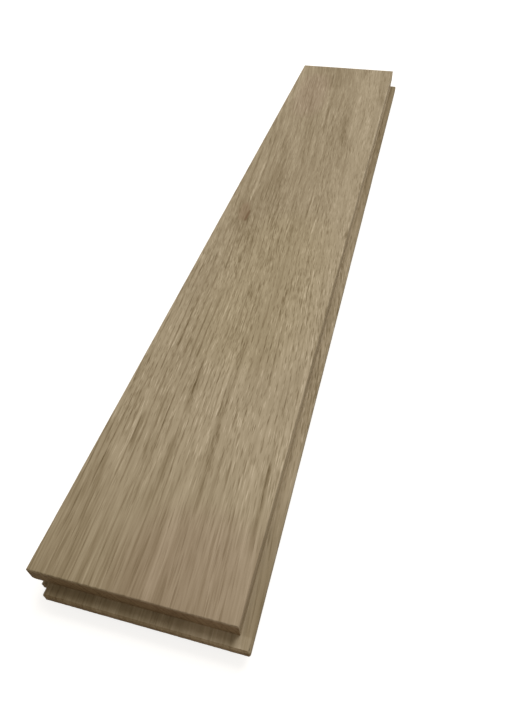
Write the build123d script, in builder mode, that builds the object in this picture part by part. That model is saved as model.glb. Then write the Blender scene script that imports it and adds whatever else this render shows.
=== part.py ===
import os

from build123d import *

os.makedirs("parts", exist_ok=True)

# Herringbone parquet block: one stave of solid oak with a tongue on one long side and one end,
# and a groove on the other long side and the other end. Sizes in millimetres.
# X runs across the grain with the tongue side at +X, Y along the grain with the tongue end at -Y,
# Z up from the underside. The origin is on the underside, below the middle of the wear face.

# The wear face, which is what shows once the block is laid, and the stave's full thickness
FACE_WIDTH = 70.0
FACE_LENGTH = 420.0
THICKNESS = 15.0

# The joint, one profile for all four sides
UPPER_LIP = 7.1
TONGUE_THICKNESS = 3.8
TONGUE_REACH = 4.2
JOINT_CLEARANCE = 0.2
GROOVE_DEPTH = 5.5
LOWER_LIP_SETBACK = 1.2
LOWER_SHOULDER_SETBACK = 0.3

# The long tongue stops this far short of the groove end, clear of a neighbour's tongue there
TONGUE_STOP = 10.0

# Eased edges
FACE_ARRIS = 0.4
MOUTH_EASING = 0.8
NOSE_EASING = 0.6
TONGUE_CORNER_RADIUS = 0.8

# Levels up from the underside: groove and tongue share one middle, the clearance lies on both sides
groove_top = THICKNESS - UPPER_LIP
tongue_top = groove_top - JOINT_CLEARANCE
tongue_bottom = tongue_top - TONGUE_THICKNESS
groove_bottom = tongue_bottom - JOINT_CLEARANCE

# The wear face's edges
left = -FACE_WIDTH / 2
right = FACE_WIDTH / 2
near = -FACE_LENGTH / 2
far = FACE_LENGTH / 2

with BuildPart() as block:
    # Long section as it leaves the moulder: groove on the left, tongue on the right
    with BuildSketch(Plane.XZ.offset(-far)):
        with BuildLine():
            Polyline(
                (left + LOWER_LIP_SETBACK, 0),
                (right - LOWER_SHOULDER_SETBACK, 0),
                (right - LOWER_SHOULDER_SETBACK, tongue_bottom),
                (right + TONGUE_REACH, tongue_bottom),
                (right + TONGUE_REACH, tongue_top),
                (right, tongue_top),
                (right, THICKNESS),
                (left, THICKNESS),
                (left, groove_top),
                (left + GROOVE_DEPTH, groove_top),
                (left + GROOVE_DEPTH, groove_bottom),
                (left + LOWER_LIP_SETBACK, groove_bottom),
                close=True,
            )
        make_face()
    extrude(amount=FACE_LENGTH + TONGUE_REACH)

    # Tongue end: both shoulders are cut back to leave the tongue standing across the end
    with BuildSketch(Plane.YZ):
        with BuildLine():
            Polyline(
                (near - TONGUE_REACH, tongue_top),
                (near, tongue_top),
                (near, THICKNESS),
                (near - TONGUE_REACH, THICKNESS),
                close=True,
            )
        make_face()
        with BuildLine():
            Polyline(
                (near - TONGUE_REACH, 0),
                (near + LOWER_SHOULDER_SETBACK, 0),
                (near + LOWER_SHOULDER_SETBACK, tongue_bottom),
                (near - TONGUE_REACH, tongue_bottom),
                close=True,
            )
        make_face()
    extrude(amount=FACE_WIDTH, both=True, mode=Mode.SUBTRACT)

    # Groove end: the slot runs right across, and the lower lip is shorter than the upper one
    with BuildSketch(Plane.YZ):
        with BuildLine():
            Polyline(
                (far - LOWER_LIP_SETBACK, 0),
                (far, 0),
                (far, groove_top),
                (far - GROOVE_DEPTH, groove_top),
                (far - GROOVE_DEPTH, groove_bottom),
                (far - LOWER_LIP_SETBACK, groove_bottom),
                close=True,
            )
        make_face()
    extrude(amount=FACE_WIDTH, both=True, mode=Mode.SUBTRACT)

    # The long tongue's end is cut away ahead of the end groove
    with BuildSketch(Plane.XY):
        with BuildLine():
            Polyline(
                (right, far - TONGUE_STOP),
                (right + TONGUE_REACH, far - TONGUE_STOP),
                (right + TONGUE_REACH, far),
                (right, far),
                close=True,
            )
        make_face()
    extrude(amount=THICKNESS, mode=Mode.SUBTRACT)

    # Upright corners of the tongue: its outer corner and its two free ends
    uprights = block.edges().filter_by(Axis.Z)
    end_tongue_corners = uprights.group_by(Axis.Y)[0]
    long_tongue_corner = uprights.group_by(Axis.X)[-1].sort_by(Axis.Y)[-1]
    fillet([*end_tongue_corners, long_tongue_corner], TONGUE_CORNER_RADIUS)

    # Tongue nose, above and below, all the way round its outline
    tongue_nose = block.faces().group_by(Axis.X)[-1] + block.faces().group_by(Axis.Y)[0]
    chamfer(tongue_nose.edges().filter_by(Axis.Z, reverse=True), NOSE_EASING)

    # Mouth of the groove: the inner edge of each lip
    lip_edges = ShapeList()
    for level in (groove_top, groove_bottom):
        level_edges = block.edges().filter_by_position(Axis.Z, level, level)
        lip_edges.append(level_edges.filter_by(Axis.Y).sort_by(Axis.X)[0])
        lip_edges.append(level_edges.filter_by(Axis.X).sort_by(Axis.Y)[-1])
    chamfer(lip_edges, MOUTH_EASING)

    # Arris of the wear face, rubbed round
    fillet(block.faces().sort_by(Axis.Z)[-1].edges(), FACE_ARRIS)

block.part.label = "parquet_block"
export_step(block.part, "parts/parquet_block.step")
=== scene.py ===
import math

import bmesh
import bpy
import numpy as np
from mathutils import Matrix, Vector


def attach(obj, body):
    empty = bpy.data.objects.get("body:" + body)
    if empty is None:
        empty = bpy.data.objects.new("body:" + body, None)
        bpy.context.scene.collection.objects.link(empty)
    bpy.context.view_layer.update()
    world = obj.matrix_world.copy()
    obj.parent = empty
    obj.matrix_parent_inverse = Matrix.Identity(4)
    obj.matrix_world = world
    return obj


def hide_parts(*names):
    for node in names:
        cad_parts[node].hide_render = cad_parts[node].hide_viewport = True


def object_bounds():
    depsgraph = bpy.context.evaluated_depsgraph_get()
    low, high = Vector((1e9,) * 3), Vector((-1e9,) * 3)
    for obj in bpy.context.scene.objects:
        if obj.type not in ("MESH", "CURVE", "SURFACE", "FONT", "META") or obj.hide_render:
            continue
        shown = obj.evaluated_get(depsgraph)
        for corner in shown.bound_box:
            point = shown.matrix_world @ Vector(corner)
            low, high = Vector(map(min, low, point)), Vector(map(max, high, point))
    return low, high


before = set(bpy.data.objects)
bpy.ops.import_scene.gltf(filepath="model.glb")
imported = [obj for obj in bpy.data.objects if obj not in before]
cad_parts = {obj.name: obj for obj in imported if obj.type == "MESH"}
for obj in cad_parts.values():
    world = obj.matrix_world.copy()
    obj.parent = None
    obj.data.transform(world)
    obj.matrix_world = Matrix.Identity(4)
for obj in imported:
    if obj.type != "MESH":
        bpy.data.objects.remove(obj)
cad_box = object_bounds()

# The stave is raw oak, one solid texture right through. Its sizes are in millimetres in the part's frame:
# x across the block with the tongue side at +x, y along it with the tongue end at -y, z up. Strengths are
# in levels of lightness, 0 to 255. A shift moves one texture away from the others.
MM = 0.001
FACE_LEVEL = cad_box[1].z / MM
FACE_END = cad_box[1].y / MM

# The grain leans off the block's length, wanders, and fans out towards the groove end
GRAIN_LEAN = 0.066
FAN_LEAN = 0.00004
FAN_SPREAD = 0.0000045
GRAIN_WAVES = (
    # amplitude, wave number across the block, wave number along it, phase
    (0.90, 0.020, 0.021, 0.4),
    (0.35, 0.055, 0.052, 2.1),
    (0.10, 0.210, 0.130, 4.0),
    (0.04, -0.370, 0.240, 1.2),
    (0.01, 0.830, 0.380, 5.1),
)

# Growth rings of uneven width round a pith outside the block, so that they stand steeply in it
PITH_X = -190.0
PITH_Z = -85.0
RING_SPACING = 2.2
RING_WAVES = (
    # amplitude in rings, wave number over the radius, phase
    (0.55, 0.21, 0.3),
    (0.14, 0.67, 1.9),
)
# The porous wood at the start of a ring rises and dies away over these parts of the ring
EARLY_RISE = (0.0, 0.10)
EARLY_FALL = (0.12, 0.36)
# The line it draws comes and goes over this length, where noise rises through these values. Each ring has
# noise of its own, this far from the next one's. Rings are counted from this part of a ring ahead of a line.
LINE_LENGTH = 22.0
LINE_PRESENCE = (-0.16, 0.12)
RING_NOISE_GAP = 5.3
COUNT_AHEAD = 0.3

# Rows of vessels are turned by this angle in their own space, so that none line up across the block
ROW_TURN = math.radians(21.0)
# Vessels and streaks grow longer from these y at these rates, up to two or three times at the two ends
LONGER_FAR = (-60.0, 0.00093)
LONGER_NEAR = (-135.0, 0.0044)

# Vessels, as spindles along the grain: width, length, shift, scatter
PORES = (1.0, 9.0, 3.5, 0.75)
FINE_PORES = (0.6, 5.0, 61.5, 0.9)
FLECKS = (0.7, 9.0, 37.5, 0.9)
# Edge of a spindle, in cells
SPINDLE = (0.17, 0.33)
# Stretches rich in vessels: width, length, shift. Each kind crowds there, and pores on a ring's line too.
RICH = (9.0, 60.0, 19.0)
PORE_CROWDING = 0.5
FINE_PORE_CROWDING = 0.4
FLECK_CROWDING = 0.3
LINE_CROWDING = 0.12
# Streaks: width, length, shift, and for dashes the range of noise over which they appear
PALE_DASHES = (0.9, 14.0, 17.0, 0.04, 0.22)
DULL_DASHES = (1.5, 22.0, 29.0, 0.04, 0.24)
SOFT_STREAKS = (2.6, 60.0, 43.0)

# Parts of the face in which this figure differs: the right, the groove end, and all but the calm tongue end
RIGHT = (-14.0, 12.0)
FAR = (-120.0, 120.0)
INNER = (-192.0, -148.0)
# Its strength at the left of the tongue end, and what is added to that in each of these parts
LINE_STRENGTH = {"near": -15.0, "inner": -12.0, "right": 12.0, "far": 13.0}
PORE_STRENGTH = {"near": -8.0, "inner": -2.0, "inner_right": -9.0, "far": 6.0}
FINE_PORE_STRENGTH = {"near": -8.0, "inner": -11.0, "far": 10.0}
FLECK_STRENGTH = {"near": 7.0, "inner": 14.0, "far": -7.0}
PALE_STRENGTH = {"near": 4.0, "far": 8.0}
DULL_STRENGTH = {"near": -3.0, "far": -6.0}
SOFT_STRENGTH = {"near": 6.0, "far": 23.0}

# Lightness of the wood and the layers of fibre that vary it
OAK_LEVEL = 151.0
FIBRE_LAYERS = (
    # width across the grain, length along it, shift, strength
    (14.0, 130.0, 31.0, 12.0),
    (3.6, 46.0, 53.0, 23.0),
    (2.0, 24.0, 87.0, 20.0),
    (0.9, 13.0, 71.0, 24.0),
    (0.7, 5.0, 11.0, 14.0),
)

# Broad changes of lightness in the face: from here, to there, by so many levels
PALE_SIDE = (12.0, 26.0, 9.0)
DARK_TONGUE_END = (-160.0, -204.0, -14.0)
DARK_GROOVE_END = (-120.0, 120.0, -6.0)
# The long tongue lies beyond this x. Painted shade makes it darker than the face, most of all towards the
# groove end.
LONG_TONGUE = (35.2, 36.2)
LONG_TONGUE_SHADE = -9.0
PAINTED_TONGUE_SHADE = (-90.0, 150.0, -15.0)
# The long shoulder above it is paler towards the groove end
LONG_SHOULDER = (34.4, 34.9)
PALE_SHOULDER = (-60.0, 120.0, 27.0)
# Painted shade darkens the corner between the two, where shadow falls, at this x and height from the face.
# It is full up to one distance from there and gone at the other.
CORNER = (35.5, -7.1)
CORNER_SHADE_REACH = (0.3, 2.2)
PAINTED_CORNER_SHADE = (-60.0, 140.0, -24.0)
# The end tongue lies beyond this y, with painted light paler to the right, and mottled: width, length and
# shift.
END_TONGUE = (-209.4, -210.4)
END_TONGUE_LEVEL = -3.5
PAINTED_LIGHT_RIGHT = (-25.0, 25.0, 13.0)
MOTTLE = (3.0, 1.2, 97.0)
MOTTLE_STRENGTH = 24.0

# Single streaks that stand out in the wear face, and broad patches of it
STREAKS = (
    # from x, y, to x, y, half width, strength
    (-8.7, -115.0, -7.2, -143.0, 2.3, -19.0),
    (-6.8, -138.0, -6.0, -188.0, 1.8, -14.0),
    (4.8, -92.0, 7.2, -152.0, 1.6, -16.0),
    (7.0, -140.0, 10.4, -182.0, 1.6, -17.0),
    (7.1, -92.0, 9.4, -152.0, 0.9, 10.0),
    (2.8, -100.0, 5.0, -175.0, 1.1, 8.0),
    (-22.9, -141.0, -21.3, -164.0, 1.1, -25.0),
    (-24.9, -141.0, -23.4, -164.0, 0.8, 14.0),
    (-33.6, -118.0, -32.4, -139.0, 0.7, -17.0),
    (-26.6, 56.0, -23.3, 8.0, 0.6, 19.0),
    (16.8, 3.0, 16.3, -16.0, 0.5, 20.0),
    (23.5, -42.0, 24.6, -57.0, 0.5, 16.0),
    (3.0, -4.0, 4.0, -28.0, 0.55, 14.0),
    (9.4, 30.0, 10.2, -5.0, 0.5, -16.0),
    (10.5, 28.0, 11.3, -6.0, 0.5, 15.0),
    (14.9, 26.0, 15.8, -6.0, 0.5, -14.0),
    (5.6, -8.0, 6.4, -28.0, 0.5, -12.0),
    (-10.4, -60.0, -8.9, -92.0, 0.5, 15.0),
    (-12.9, -58.0, -11.4, -92.0, 0.5, -15.0),
    (-15.2, -56.0, -13.6, -88.0, 0.45, -13.0),
    (8.3, -64.0, 9.8, -92.0, 0.5, -15.0),
    (11.4, -66.0, 12.8, -92.0, 0.45, 12.0),
    (14.4, -60.0, 16.0, -92.0, 0.5, -14.0),
    (-14.8, -34.0, -13.4, -62.0, 0.5, -11.0),
    (-6.8, -34.0, -5.6, -58.0, 0.45, 12.0),
    (19.0, -28.0, 20.0, -48.0, 0.5, -12.0),
    (-8.9, 198.0, -6.5, 163.0, 1.0, -14.0),
    (-4.6, 152.0, -1.2, 106.0, 1.1, 13.0),
    (-2.2, 136.0, 2.0, 92.0, 1.0, -15.0),
    (12.6, 142.0, 16.5, 74.0, 2.8, -10.0),
    (-18.0, 66.0, -15.0, -42.0, 9.0, -8.0),
    (-27.0, 14.0, -25.0, -22.0, 6.0, -7.0),
    (10.0, 130.0, 15.0, 50.0, 8.0, -4.0),
    (-33.0, 230.0, -28.0, 130.0, 9.0, 4.0),
    (33.5, -110.0, 34.5, -190.0, 3.5, 10.0),
    (4.0, -160.0, 5.5, -215.0, 3.0, 10.0),
    (-28.6, -160.0, -25.8, -194.0, 1.1, -18.0),
    (-1.3, -188.0, -0.4, -211.0, 0.6, -16.0),
    (30.3, -152.0, 32.3, -194.0, 1.1, -15.0),
    (-8.0, 225.0, -4.0, 165.0, 17.0, -9.0),
    (32.5, 225.0, 33.5, 140.0, 7.0, -12.0),
    (16.5, 200.0, 19.0, 145.0, 4.0, 10.0),
    (0.0, -105.0, 2.0, -160.0, 26.0, 6.0),
    (-33.0, -145.0, -32.0, -190.0, 5.0, -8.0),
    (32.5, -145.0, 33.5, -190.0, 4.0, -8.0),
)
# They lean as they go down into the wood, end at this depth, and waver: width, length, shift, reach
STREAK_TILT = 0.5
STREAK_DEPTH = 9.0
WAVER = (4.0, 14.0, 41.0)
WAVER_REACH = 1.2

# Stretches that are yellower or redder than the rest, and what they multiply the colour by
TINTS = (
    # from x, y, to x, y, half width, red, green, blue
    (6.0, 10.0, 4.0, -125.0, 34.0, 255, 255, 251),
    (16.0, -172.0, 18.0, -250.0, 32.0, 255, 251, 255),
    (-20.0, 200.0, -17.0, 115.0, 15.0, 255, 251, 255),
)

# Ray flecks cross the fibres at this angle, in one stretch of the face where the cut runs close to the rays
RAY_ANGLE = math.radians(16.0)
RAY_WIDTH = 1.7
RAY_LENGTH = 6.5
RAY_STRETCH = (-24.0, 30.0, -14.0, -85.0, 20.0)
RAY_STRENGTH = 34.0

# A small resin mark and the stain round it: the stretch, its colour, how far the colour covers
MARK = (-21.5, 1.0, -21.2, -12.0, 0.85)
MARK_COLOUR = (112, 84, 60)
MARK_COVER = 0.75
STAIN = (-25.0, 8.0, -23.0, -12.0, 3.4)
STAIN_COLOUR = (146, 122, 96)
STAIN_COVER = 0.55

# Colour of the wood at the two ends of its range of lightness, its roughness, and its shine
LEVEL_RANGE = (60.0, 200.0)
DARKEST = (75, 58, 30)
PALEST = (215, 198, 170)
ROUGHNESS = 0.74
PORE_ROUGHNESS = 0.12
SPECULAR = 0.06
# End grain: how far a surface faces along the block, what it multiplies the colour by, its rings' strength,
# and the depth below the face over which it sets in, so that the sawn ends are paler at their top
END_FACING = (0.5, 0.9)
END_GRAIN = (212, 199, 184)
END_RINGS = -11.0
END_GRAIN_SETS_IN = (0.0, -1.5)

# The mesh has the solid's faces on a grid of this spacing, with the wood's fine relief in them
GRID_X = 0.3
GRID_Y = 4.0
GRID_Z = 0.7
WELD = 1e-6
CUT_SNAP = 1e-7
FLAT_ANGLE = 0.01
SHARP_ANGLE = math.radians(20)
UNDERSIDE = 0.01
# Depth of the furrows in the porous wood and the pores, and of the roughness of the sawn ends
RING_RELIEF = 0.03
PORE_RELIEF = 0.05
END_RELIEF = 0.06
# Fibres broken out of the arrises that cross the grain: how far in, how far down and along they show
NOTCH = 0.12
NOTCH_DOWN = 1.6
NOTCH_ALONG = 0.6
END_MARGIN = 0.1
# Noise of the relief: cell sizes, seed, and the gain and cut that keep its peaks
LATTICE = 256
PORE_CELL = (0.55, 13.0)
PORE_SEED = 5
PORE_PEAKS = (2.2, 1.3)
SAW_CELL = 0.5
SAW_SEED = 9
NOTCH_CELL = 0.8
NOTCH_SEED = 11
NOTCH_PEAKS = (2.4, 1.3)

# Light: a warm fill from all round, a cooler window, and white where floor or surroundings are seen
SEEN_RAYS = ("Is Camera Ray", "Is Glossy Ray", "Is Transmission Ray")
WHITE = (1.0, 1.0, 1.0, 1.0)
FILL_COLOUR = (1.0, 0.94, 0.83, 1.0)
FILL_STRENGTH = 0.38
LAMP_COLOUR = (0.96, 1.0, 1.06)
FLOOR_COLOUR = (0.44, 0.41, 0.37, 1.0)
FLOOR_GLOW = 0.8
# The floor's half width and how far it lies below the block, in metres
FLOOR_REACH = 6.0
FLOOR_GAP = 0.0001

# The photograph's camera, fitted to the block's edges: millimetres of lens, place in metres, turn in degrees
CAMERA_LENS = 28.556
CAMERA_PLACE = (0.06082, -0.25779, 0.18788)
CAMERA_TURN = (42.933, 1.667, 14.763)


class Numbers:
    """The maths of the grain, on arrays."""

    sine = staticmethod(np.sin)
    root = staticmethod(np.sqrt)
    above = staticmethod(np.maximum)

    @staticmethod
    def fraction(value):
        return value - np.floor(value)

    @staticmethod
    def step(value, low, high, at_low=0.0, at_high=1.0):
        share = np.clip((value - low) / (high - low), 0.0, 1.0)
        return at_low + (at_high - at_low) * share * share * (3.0 - 2.0 * share)


class Field:
    """A number that varies over a surface. Arithmetic with it adds the shader nodes that work it out."""

    def __init__(self, graph, socket):
        self.graph = graph
        self.socket = socket

    def __add__(self, other):
        return self.graph.math("ADD", self, other)

    def __radd__(self, other):
        return self.graph.math("ADD", other, self)

    def __sub__(self, other):
        return self.graph.math("SUBTRACT", self, other)

    def __rsub__(self, other):
        return self.graph.math("SUBTRACT", other, self)

    def __mul__(self, other):
        return self.graph.math("MULTIPLY", self, other)

    def __rmul__(self, other):
        return self.graph.math("MULTIPLY", other, self)

    def __truediv__(self, other):
        return self.graph.math("DIVIDE", self, other)

    def __abs__(self):
        return self.graph.math("ABSOLUTE", self)


class Graph:
    """The nodes of a material or a world, and the maths of the grain on their fields."""

    def __init__(self, owner, output_kind):
        owner.use_nodes = True
        self.links = owner.node_tree.links
        self.nodes = owner.node_tree.nodes
        self.nodes.clear()
        self.output = self.nodes.new(output_kind)

    def put(self, socket, value):
        if isinstance(value, Field):
            self.links.new(value.socket, socket)
        else:
            socket.default_value = value

    def add(self, kind, output, **inputs):
        """A node of that kind with its inputs set, as the field of one output."""
        node = self.nodes.new(kind)
        for name, value in inputs.items():
            self.put(node.inputs[name.replace("_", " ")], value)
        return Field(self, node.outputs[output])

    def math(self, operation, *values):
        node = self.nodes.new("ShaderNodeMath")
        node.operation = operation
        for socket, value in zip(node.inputs, values):
            self.put(socket, value)
        return Field(self, node.outputs[0])

    def sine(self, value):
        return self.math("SINE", value)

    def root(self, value):
        return self.math("SQRT", value)

    def above(self, value, least):
        return self.math("MAXIMUM", value, least)

    def fraction(self, value):
        return self.math("FRACT", value)

    def whole(self, value):
        return self.math("FLOOR", value)

    def step(self, value, low, high, at_low=0.0, at_high=1.0):
        node = self.nodes.new("ShaderNodeMapRange")
        node.interpolation_type = "SMOOTHSTEP"
        for socket, number in zip(node.inputs, (value, low, high, at_low, at_high)):
            self.put(socket, number)
        return Field(self, node.outputs["Result"])

    def vector(self, x, y, z):
        return self.add("ShaderNodeCombineXYZ", "Vector", X=x, Y=y, Z=z)

    def split(self, vector):
        node = self.nodes.new("ShaderNodeSeparateXYZ")
        self.put(node.inputs[0], vector)
        return [Field(self, output) for output in node.outputs]

    def noise(self, vector):
        """Smooth noise about 0, one wave a unit."""
        return self.add("ShaderNodeTexNoise", "Fac", Vector=vector, Scale=1.0, Detail=1.0) - 0.5

    def cells(self, vector, scatter):
        """Distance from the middle of the nearest cell, one a unit: in rows at scatter 0, all over at 1."""
        return self.add("ShaderNodeTexVoronoi", "Distance", Vector=vector, Scale=1.0, Randomness=scatter)

    def ramp(self, value, low, high, stops=5):
        """A colour between two others, in even steps of the values as they are written."""
        node = self.nodes.new("ShaderNodeValToRGB")
        self.put(node.inputs["Fac"], value)
        elements = node.color_ramp.elements
        for i in range(1, stops - 1):
            elements.new(i / (stops - 1))
        for i, element in enumerate(elements):
            share = i / (stops - 1)
            element.color = srgb(*[a + (b - a) * share for a, b in zip(low, high)])
        return Field(self, node.outputs["Color"])

    def mix(self, factor, a, b, blend="MIX"):
        node = self.nodes.new("ShaderNodeMix")
        node.data_type = "RGBA"
        node.blend_type = blend
        for name, value in (("Factor_Float", factor), ("A_Color", a), ("B_Color", b)):
            socket = next(s for s in node.inputs if s.identifier == name)
            self.put(socket, value)
        return Field(self, next(s for s in node.outputs if s.identifier == "Result_Color"))

    def seen(self):
        """1 on a ray that shows a surface, straight or in a reflection, and 0 on one that only lights."""
        path = self.nodes.new("ShaderNodeLightPath")
        straight, mirrored, through = [Field(self, path.outputs[name]) for name in SEEN_RAYS]
        return straight + mirrored + through

    def show(self, shader):
        self.put(self.output.inputs["Surface"], shader)


def srgb(red, green, blue):
    """A colour written 0 to 255 as the linear value that the renderer takes."""
    linear = []
    for level in (red, green, blue):
        share = level / 255
        linear.append(share / 12.92 if share <= 0.04045 else ((share + 0.055) / 1.055) ** 2.4)
    return (*linear, 1.0)


def grain_across(maths, x, y):
    """Across-grain coordinate: constant along a fibre."""
    far = maths.above(y, 0.0)
    across = x + GRAIN_LEAN * y + (FAN_LEAN - FAN_SPREAD * x) * far * far
    for amplitude, kx, ky, phase in GRAIN_WAVES:
        across = across + amplitude * maths.sine(kx * x + ky * y + phase)
    return across


def ring_place(maths, across, z):
    """Distance from the pith, in growth rings."""
    dx = across - PITH_X
    dz = z - PITH_Z
    radius = maths.root(dx * dx + dz * dz)
    ring = radius / RING_SPACING
    for amplitude, wave_number, phase in RING_WAVES:
        ring = ring + amplitude * maths.sine(wave_number * radius + phase)
    return ring


def early_wood(maths, ring):
    """The porous wood at the start of each ring: it begins sharply and dies away."""
    phase = maths.fraction(ring)
    return maths.step(phase, *EARLY_RISE) * maths.step(phase, *EARLY_FALL, 1.0, 0.0)


def lattice_noise(u, v, seed):
    """Smooth random values from 0 to 1, one lattice point a unit."""
    table = np.random.default_rng(seed).random((LATTICE, LATTICE))
    iu, iv = np.floor(u).astype(int), np.floor(v).astype(int)
    fu, fv = u - iu, v - iv
    fu, fv = fu * fu * (3 - 2 * fu), fv * fv * (3 - 2 * fv)
    a = table[iu % LATTICE, iv % LATTICE]
    b = table[(iu + 1) % LATTICE, iv % LATTICE]
    c = table[iu % LATTICE, (iv + 1) % LATTICE]
    d = table[(iu + 1) % LATTICE, (iv + 1) % LATTICE]
    return (a * (1 - fu) + b * fu) * (1 - fv) + (c * (1 - fu) + d * fu) * fv


def peaks(noise, gain, cut):
    """The highest parts of a noise, from 0 to 1."""
    return np.clip(noise * gain - cut, 0, 1)


def furrows(places, normals, across):
    """Depth of the grain's furrows in the planed faces and of the roughness in the sawn ends."""
    y, z = places[:, 1], places[:, 2]
    early = early_wood(Numbers, ring_place(Numbers, across, z))
    pore = peaks(lattice_noise(across / PORE_CELL[0], y / PORE_CELL[1], PORE_SEED), *PORE_PEAKS)
    sawn = lattice_noise(across / SAW_CELL, z / SAW_CELL, SAW_SEED)
    end = np.abs(normals[:, 1])
    depth = (RING_RELIEF * early + PORE_RELIEF * pore) * (1 - end) + END_RELIEF * sawn * end
    # The underside stays plane, where the block lies
    depth[z < UNDERSIDE] = 0
    return depth


def notches(places, across):
    """How far fibres are broken out of the wear face's two end arrises."""
    y, z = places[:, 1], places[:, 2]
    torn = peaks(lattice_noise(across / NOTCH_CELL, np.zeros_like(y), NOTCH_SEED), *NOTCH_PEAKS)
    down = np.clip(1 - (FACE_LEVEL - z) / NOTCH_DOWN, 0, 1)
    along = np.clip(1 - (FACE_END - np.abs(y)) / NOTCH_ALONG, 0, 1)
    short_of_tongue = np.abs(y) < FACE_END + END_MARGIN
    return NOTCH * torn * down * along * short_of_tongue


def worn(places, normals):
    """Places of the mesh with the grain's furrows sunk into them and the end arrises notched."""
    across = grain_across(Numbers, places[:, 0], places[:, 1])
    moved = places - normals * furrows(places, normals, across)[:, None]
    moved[:, 1] -= notches(places, across) * np.sign(places[:, 1])
    return moved


def cut_to_grid(bm, axis, spacing):
    """Divides every face along one axis, about every so many millimetres."""
    places = [vert.co[axis] for vert in bm.verts]
    low, high = min(places), max(places)
    count = max(1, round((high - low) / MM / spacing))
    normal = [0.0, 0.0, 0.0]
    normal[axis] = 1.0
    for i in range(1, count):
        point = [0.0, 0.0, 0.0]
        point[axis] = low + (high - low) * i / count
        geometry = bm.verts[:] + bm.edges[:] + bm.faces[:]
        bmesh.ops.bisect_plane(bm, geom=geometry, dist=CUT_SNAP, plane_co=point, plane_no=normal)


def add_object(name, data):
    thing = bpy.data.objects.new(name, data)
    bpy.context.scene.collection.objects.link(thing)
    return thing


def make_block(node):
    """The stave as a fine mesh: the solid's own faces on a grid, with the wood's relief in them."""
    bm = bmesh.new()
    bm.from_mesh(node.data)
    bmesh.ops.remove_doubles(bm, verts=bm.verts[:], dist=WELD)
    bmesh.ops.dissolve_limit(bm, angle_limit=FLAT_ANGLE, verts=bm.verts[:], edges=bm.edges[:])
    for axis, spacing in ((2, GRID_Z), (0, GRID_X), (1, GRID_Y)):
        cut_to_grid(bm, axis, spacing)
    bm.normal_update()
    places = np.array([vert.co for vert in bm.verts]) / MM
    normals = np.array([vert.normal for vert in bm.verts])
    for vert, place in zip(bm.verts, worn(places, normals)):
        vert.co = place * MM
    mesh = bpy.data.meshes.new("parquet_block_grained")
    bm.to_mesh(mesh)
    bm.free()
    mesh.shade_smooth()
    mesh.set_sharp_from_angle(angle=SHARP_ANGLE)
    return add_object("parquet_block_grained", mesh)


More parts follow.
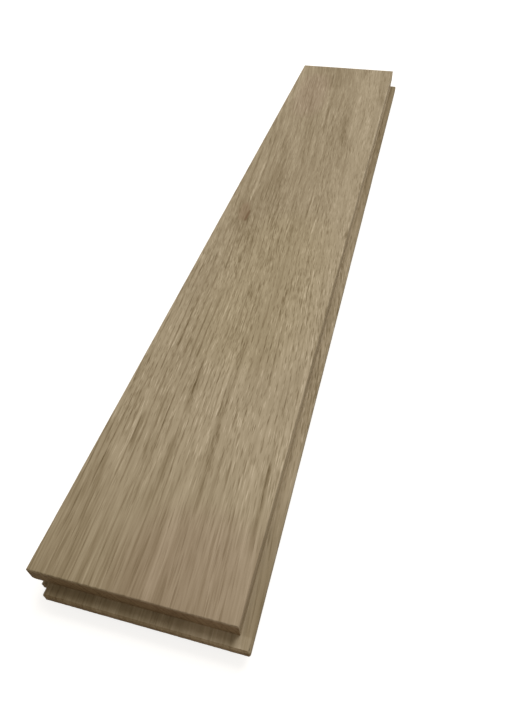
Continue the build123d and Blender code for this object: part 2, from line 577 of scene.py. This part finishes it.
class Wood:
    """Places in the oak and the structure there, as fields of a material."""

    def __init__(self, g):
        self.g = g
        self.x, self.y, self.z = [axis / MM for axis in g.split(g.add("ShaderNodeTexCoord", "Object"))]
        self.below_face = self.z - FACE_LEVEL
        self.across = grain_across(g, self.x, self.y)
        self.along = self.slowed_along()
        self.ring = ring_place(g, self.across, self.z)
        self.early = early_wood(g, self.ring)
        self.waver = self.fibres(*WAVER) * WAVER_REACH
        self.rich = self.fibres(*RICH)
        inner, right, far = g.step(self.y, *INNER), g.step(self.x, *RIGHT), g.step(self.y, *FAR)
        self.parts = {"inner": inner, "right": right, "inner_right": right * inner, "far": far}

    def slowed_along(self):
        """Coordinate along the block. It slows down towards the ends, which makes textures longer there."""
        far_start, far_growth = LONGER_FAR
        near_start, near_growth = LONGER_NEAR
        far = self.g.above(self.y - far_start, 0.0)
        near = self.g.above(near_start - self.y, 0.0)
        return self.y - far_growth * far * far + near_growth * near * near

    def stretched(self, width, length, shift):
        """Place in a texture that is that wide across the grain and that long along it, a unit."""
        u = self.across / width + shift
        v = self.along / length
        cosine, sine = math.cos(ROW_TURN), math.sin(ROW_TURN)
        return self.g.vector(u * cosine - v * sine, u * sine + v * cosine, self.below_face / width + shift)

    def fibres(self, width, length, shift):
        """Soft streaks along the grain, about -0.5 to 0.5."""
        return self.g.noise(self.stretched(width, length, shift))

    def dashes(self, width, length, shift, low, high):
        """The highest parts of such streaks, 0 to 1."""
        return self.g.step(self.fibres(width, length, shift), low, high)

    def vessels(self, width, length, shift, scatter, crowding):
        """Spindles along the grain, 1 in their middle and 0 outside them, larger where they crowd."""
        off = self.g.cells(self.stretched(width, length, shift), scatter) - crowding
        return self.g.step(off, *SPINDLE, 1.0, 0.0)

    def ring_lines(self):
        """The porous starts of the rings, which come and go along the block."""
        ring = self.g.whole(self.ring + COUNT_AHEAD)
        noise = self.g.noise(self.g.vector(ring * RING_NOISE_GAP, self.y / LINE_LENGTH, 0.0))
        return self.early * self.g.step(noise, *LINE_PRESENCE)

    def rays(self):
        """Ray flecks, about -0.5 to 0.5 in their stretch of the face."""
        cosine, sine = math.cos(RAY_ANGLE), math.sin(RAY_ANGLE)
        over = self.across * cosine + self.y * sine
        along = self.y * cosine - self.across * sine
        place = self.g.vector(over / RAY_WIDTH, along / RAY_LENGTH, self.z / RAY_WIDTH)
        return self.g.noise(place) * self.patch(*RAY_STRETCH)

    def end_grain(self):
        """1 on the sawn ends and 0 on the planed faces, less near the top of the sawn ends."""
        facing = self.g.split(self.g.add("ShaderNodeTexCoord", "Normal"))
        return self.g.step(abs(facing[1]), *END_FACING) * self.g.step(self.below_face, *END_GRAIN_SETS_IN)

    def patch(self, x0, y0, x1, y1, half_width):
        """1 on the line between two places in the wear face, down to 0 at the half width from it."""
        slope = (x1 - x0) / (y1 - y0)
        off = self.x - slope * self.y + self.below_face * STREAK_TILT + self.waver - (x0 - slope * y0)
        off = off / half_width
        along = (self.y - (y0 + y1) / 2) / abs(y0 - y1) * 2.0
        along = along * along
        depth = self.below_face / STREAK_DEPTH
        return self.g.step(off * off + along * along + depth * depth, 0.0, 1.0, 1.0, 0.0)

    def corner(self):
        """1 in the corner between the long shoulder and its tongue, down to 0 away from it: where shade is
        painted.
        """
        off_x = self.x - CORNER[0]
        off_z = self.below_face - CORNER[1]
        return self.g.step(self.g.root(off_x * off_x + off_z * off_z), *CORNER_SHADE_REACH, 1.0, 0.0)

    def change(self, place, start, end, amount):
        """0 up to one place, then smoothly up to the amount at another."""
        return self.g.step(place, start, end, 0.0, amount)

    def strength(self, near, **parts):
        """Levels at the left of the tongue end, with what is added to them in other parts of the face."""
        level = near
        for part, amount in parts.items():
            level = level + amount * self.parts[part]
        return level

    def joint_tone_and_painted_light(self):
        """Added lightness on the tongues, the long shoulder and its corner: tone, painted shade and painted
        light.
        """
        tongue = self.g.step(self.x, *LONG_TONGUE)
        shoulder = self.g.step(self.x, *LONG_SHOULDER) - tongue
        end_tongue = self.g.step(self.y, *END_TONGUE)
        mottle = self.fibres(*MOTTLE) * MOTTLE_STRENGTH
        # Painted shade on the long tongue, darkest towards the groove end
        level = tongue * (self.change(self.y, *PAINTED_TONGUE_SHADE) + LONG_TONGUE_SHADE)
        level = level + shoulder * self.change(self.y, *PALE_SHOULDER)
        # Painted shade in the corner, stronger towards the groove end
        level = level + self.corner() * self.change(self.y, *PAINTED_CORNER_SHADE)
        # Painted light on the end tongue, paler to the right
        return level + end_tongue * (self.change(self.x, *PAINTED_LIGHT_RIGHT) + END_TONGUE_LEVEL + mottle)

    def tone(self):
        """Lightness of the wood without its lines, vessels and dashes, and with the joint's painted shade
        and light.
        """
        level = OAK_LEVEL + self.change(self.x, *PALE_SIDE)
        level = level + self.change(self.y, *DARK_TONGUE_END) + self.change(self.y, *DARK_GROOVE_END)
        level = level + self.joint_tone_and_painted_light()
        for width, length, shift, strength in FIBRE_LAYERS:
            level = level + self.fibres(width, length, shift) * strength
        for *place, strength in STREAKS:
            level = level + self.patch(*place) * strength
        return level + self.rays() * RAY_STRENGTH


def oak_level(wood, lines, pores, end):
    """Lightness of the oak with its lines, vessels and dashes."""
    figure = (
        (lines, LINE_STRENGTH),
        (pores, PORE_STRENGTH),
        (wood.vessels(*FINE_PORES, wood.rich * FINE_PORE_CROWDING), FINE_PORE_STRENGTH),
        (wood.vessels(*FLECKS, wood.rich * FLECK_CROWDING), FLECK_STRENGTH),
        (wood.dashes(*PALE_DASHES), PALE_STRENGTH),
        (wood.dashes(*DULL_DASHES), DULL_STRENGTH),
        (wood.fibres(*SOFT_STREAKS), SOFT_STRENGTH),
    )
    level = wood.tone() + end * wood.early * END_RINGS
    for feature, strength in figure:
        level = level + feature * wood.strength(**strength)
    return level


def oak_colour(g, wood, level, end):
    """Colour at that lightness, with the tints, the resin mark and the end grain."""
    low, high = LEVEL_RANGE
    colour = g.ramp((level - low) / (high - low), DARKEST, PALEST)
    for *place, red, green, blue in TINTS:
        colour = g.mix(wood.patch(*place), colour, srgb(red, green, blue), "MULTIPLY")
    colour = g.mix(wood.patch(*STAIN) * STAIN_COVER, colour, srgb(*STAIN_COLOUR))
    colour = g.mix(wood.patch(*MARK) * MARK_COVER, colour, srgb(*MARK_COLOUR))
    return g.mix(end, colour, srgb(*END_GRAIN), "MULTIPLY")


def make_oak():
    material = bpy.data.materials.new("raw_oak")
    g = Graph(material, "ShaderNodeOutputMaterial")
    wood = Wood(g)
    lines = wood.ring_lines()
    pores = wood.vessels(*PORES, lines * LINE_CROWDING + wood.rich * PORE_CROWDING)
    end = wood.end_grain()
    height = lines * -RING_RELIEF - pores * PORE_RELIEF
    surface = g.add(
        "ShaderNodeBsdfPrincipled",
        "BSDF",
        Base_Color=oak_colour(g, wood, oak_level(wood, lines, pores, end), end),
        Roughness=ROUGHNESS + PORE_ROUGHNESS * pores,
        Specular_IOR_Level=SPECULAR,
        Normal=g.add("ShaderNodeBump", "Normal", Strength=1.0, Distance=MM, Height=height),
    )
    g.show(surface)
    return material


def make_floor_material():
    """Pale floor. Seen straight or in a reflection it is white, and it still takes the block's shadow."""
    material = bpy.data.materials.new("pale_floor")
    g = Graph(material, "ShaderNodeOutputMaterial")
    matt = g.add("ShaderNodeBsdfDiffuse", "BSDF", Color=FLOOR_COLOUR)
    glow = g.add("ShaderNodeEmission", "Emission", Strength=g.seen() * FLOOR_GLOW)
    both = g.nodes.new("ShaderNodeAddShader")
    g.put(both.inputs[0], matt)
    g.put(both.inputs[1], glow)
    g.show(Field(g, both.outputs[0]))
    return material


def make_floor():
    bm = bmesh.new()
    bmesh.ops.create_grid(bm, x_segments=1, y_segments=1, size=FLOOR_REACH)
    mesh = bpy.data.meshes.new("floor")
    bm.to_mesh(mesh)
    bm.free()
    mesh.materials.append(make_floor_material())
    floor = add_object("floor", mesh)
    floor.location.z = -FLOOR_GAP
    return floor


def make_world():
    """White where it is seen, straight or in a reflection, and a dimmer warm fill on the block."""
    world = bpy.data.worlds.new("studio")
    g = Graph(world, "ShaderNodeOutputWorld")
    fill = g.add("ShaderNodeBackground", "Background", Color=FILL_COLOUR, Strength=FILL_STRENGTH)
    white = g.add("ShaderNodeBackground", "Background", Color=WHITE, Strength=1.0)
    either = g.nodes.new("ShaderNodeMixShader")
    for socket, value in zip(either.inputs, (g.seen(), fill, white)):
        g.put(socket, value)
    g.show(Field(g, either.outputs[0]))
    bpy.context.scene.world = world


def make_lamp(name, azimuth, elevation, distance, size, power):
    """A square area lamp that looks at the origin. Azimuth 0 is behind the block, 90 to its right."""
    data = bpy.data.lights.new(name, "AREA")
    data.shape = "SQUARE"
    data.size = size
    data.energy = power
    data.color = LAMP_COLOUR
    lamp = add_object(name, data)
    turn, rise = math.radians(azimuth), math.radians(elevation)
    flat = distance * math.cos(rise)
    lamp.location = (flat * math.sin(turn), flat * math.cos(turn), distance * math.sin(rise))
    lamp.rotation_euler = (math.pi / 2 - rise, 0.0, math.pi - turn)


def make_camera():
    data = bpy.data.cameras.new("camera")
    data.lens = CAMERA_LENS
    camera = add_object("camera", data)
    camera.location = CAMERA_PLACE
    camera.rotation_euler = [math.radians(angle) for angle in CAMERA_TURN]
    bpy.context.scene.camera = camera


bpy.context.scene.view_settings.view_transform = "Standard"
make_camera()
make_world()
make_lamp("window", azimuth=12.0, elevation=56.0, distance=6.5, size=4.7, power=325.0)
make_floor()

block = make_block(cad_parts["parquet_block"])
block.data.materials.append(make_oak())
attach(block, "root")
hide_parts("parquet_block")
